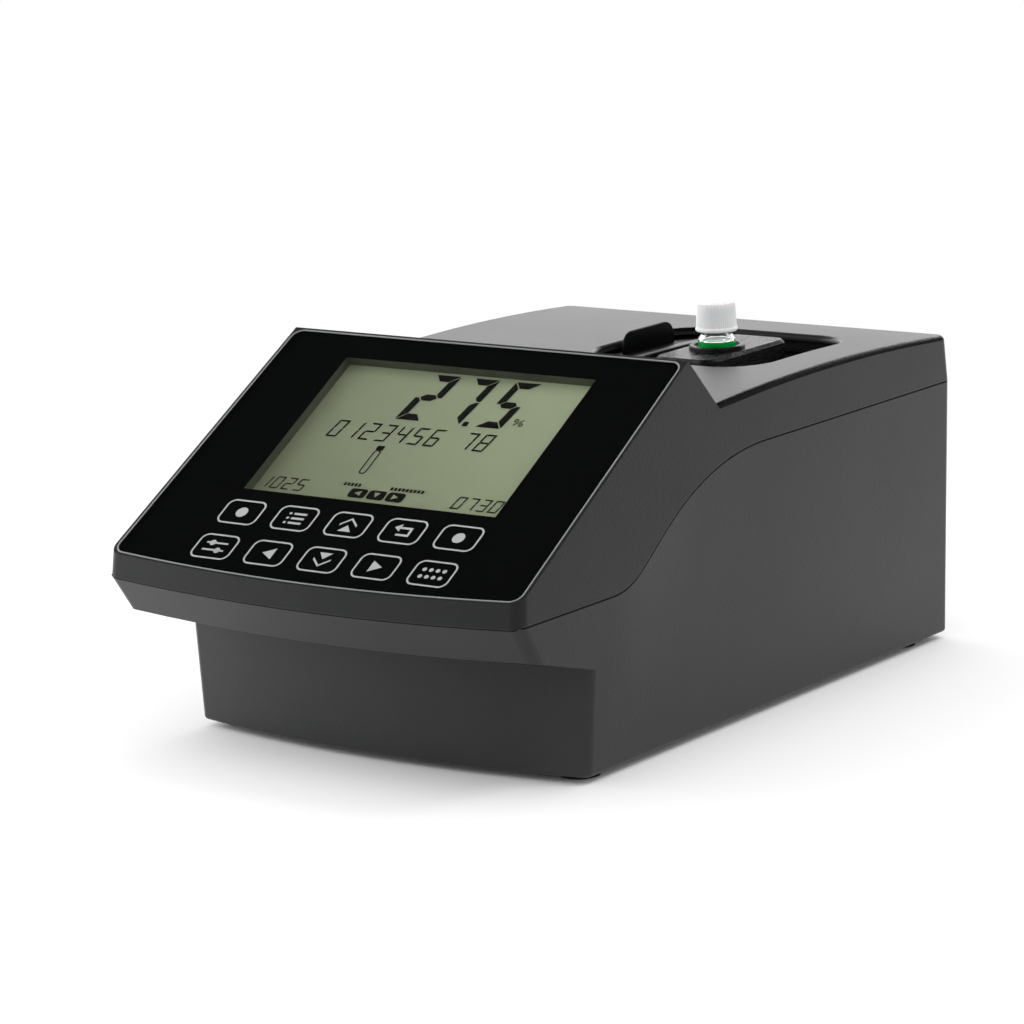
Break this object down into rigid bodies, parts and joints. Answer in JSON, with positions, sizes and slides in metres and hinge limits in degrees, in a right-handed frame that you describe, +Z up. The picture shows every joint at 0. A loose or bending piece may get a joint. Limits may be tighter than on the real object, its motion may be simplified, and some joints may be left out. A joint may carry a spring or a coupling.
{
  "type": "visible spectrophotometer",
  "caption": "Benchtop visible spectrophotometer with a sloping glass panel and display, a roof recess with sliding lid, cell adapter and capped sample vial, and its optics inside.",
  "frame": {"origin": "centre of the footprint, on the surface the feet stand on", "axes": "+Z up, -Y towards the user and the sloping panel, +X to the user's right"},
  "size_m": [0.205, 0.3219, 0.1564],
  "materials": {
    "cover_plastic": "fine moulded satin",
    "shell_plastic": "fine moulded satin",
    "panel_glass": "polished",
    "panel_ink": "black print with pale key outlines",
    "dark_plastic": "satin black",
    "lid_plastic": "satin black",
    "adapter_plastic": "turned and milled black",
    "display_cell": "grey-green display",
    "light_guide": "clear moulded",
    "circuit_board": "green solder mask",
    "sensor_film": "amber film",
    "vial_glass": "polished",
    "sample_liquid": "clear green",
    "liner_foam": "soft",
    "cap_plastic": "white, ribbed",
    "bench_metal": "milled",
    "mount_metal": "black anodised",
    "sheet_metal": "folded sheet",
    "motor_metal": "drawn can",
    "screw_steel": "zinc plated",
    "lamp_glass": "blown",
    "lamp_ceramic": "unglazed ceramic",
    "lens_glass": "polished",
    "filter_glass": "tinted",
    "splitter_glass": "half-silvered",
    "grating_mirror": "ruled and coated",
    "detector_board": "board with a metal can",
    "chip_plastic": "moulded",
    "socket_metal": "tin plated",
    "rocker_plastic": "satin black",
    "battery_wrap": "shrink film",
    "foot_rubber": "matt",
    "ribbon_plastic": "grey ribbon"
  },
  "bodies": {
    "housing": {"upper_cover": "cover_plastic", "lower_shell": "shell_plastic", "front_glass": "panel_glass", "panel_print": "panel_ink", "display_frame": "dark_plastic", "display": "display_cell", "backlight": "light_guide", "display_board": "circuit_board", "key_sensor": "sensor_film", "recess_tray": "dark_plastic", "lid_rails": "dark_plastic", "cell_well": "dark_plastic", "optical_bench": "bench_metal", "bench_screws": "screw_steel", "board_screws": "screw_steel", "case_screws": "screw_steel", "lamp": "lamp_glass", "lamp_socket": "lamp_ceramic", "lamp_shield": "sheet_metal", "condenser_lens": "lens_glass", "condenser_mount": "mount_metal", "focusing_lens": "lens_glass", "focusing_mount": "mount_metal", "wheel_bracket": "sheet_metal", "wheel_motor": "motor_metal", "entrance_slit": "mount_metal", "grating_motor": "motor_metal", "beam_splitter": "splitter_glass", "splitter_post": "mount_metal", "reference_detector": "detector_board", "sample_detector": "detector_board", "main_board": "circuit_board", "board_chips": "chip_plastic", "usb_a_socket": "socket_metal", "usb_b_socket": "socket_metal", "power_inlet": "dark_plastic", "switch_frame": "dark_plastic", "battery_pack": "battery_wrap", "battery_door": "shell_plastic", "lamp_door": "shell_plastic", "rubber_feet": "foot_rubber", "ribbon_cable": "ribbon_plastic"},
    "lid": {"sample_lid": "lid_plastic"},
    "adapter": {"adapter_block": "adapter_plastic"},
    "vial": {"vial_glass": "vial_glass", "sample_liquid": "sample_liquid"},
    "cap_seal": {"cap_liner": "liner_foam"},
    "cap": {"vial_cap": "cap_plastic"},
    "rocker": {"switch_rocker": "rocker_plastic"},
    "wheel": {"filter_wheel": "mount_metal", "order_filters": "filter_glass"},
    "grating_table": {"turntable": "mount_metal", "grating": "grating_mirror"}
  },
  "joints": [
    {"name": "lid_slide", "type": "slide", "parent": "housing", "child": "lid", "axis": [1, 0, 0], "range_m": [-0.004, 0.01]},
    {"name": "adapter_lift", "type": "slide", "parent": "housing", "child": "adapter", "axis": [0, 0, 1], "range_m": [0, 0.085]},
    {"name": "vial_lift", "type": "slide", "parent": "adapter", "child": "vial", "axis": [0, 0, 1], "range_m": [0, 0.09]},
    {"name": "cap_rise", "type": "slide", "parent": "vial", "child": "cap_seal", "axis": [0, 0, 1], "range_m": [0, 0.0038]},
    {"name": "cap_turn", "type": "hinge", "parent": "cap_seal", "child": "cap", "pos_m": [0.033, 0.083, 0.15], "axis": [0, 0, 1], "range_deg": [0, 450]},
    {"name": "switch_rock", "type": "hinge", "parent": "housing", "child": "rocker", "pos_m": [0.056, 0.156, 0.04], "axis": [1, 0, 0], "range_deg": [-16, 0]},
    {"name": "wheel_spin", "type": "hinge", "parent": "housing", "child": "wheel", "pos_m": [-0.042, 0.005, 0.084], "axis": [0, 1, 0], "continuous": true},
    {"name": "grating_turn", "type": "hinge", "parent": "housing", "child": "grating_table", "pos_m": [-0.06, 0.083, 0.055], "axis": [0, 0, 1], "range_deg": [-20, 20]}
  ],
  "couplings": [
    {"joint": "cap_rise", "follows": "cap_turn", "m_per_rad": 0.00047746}
  ]
}
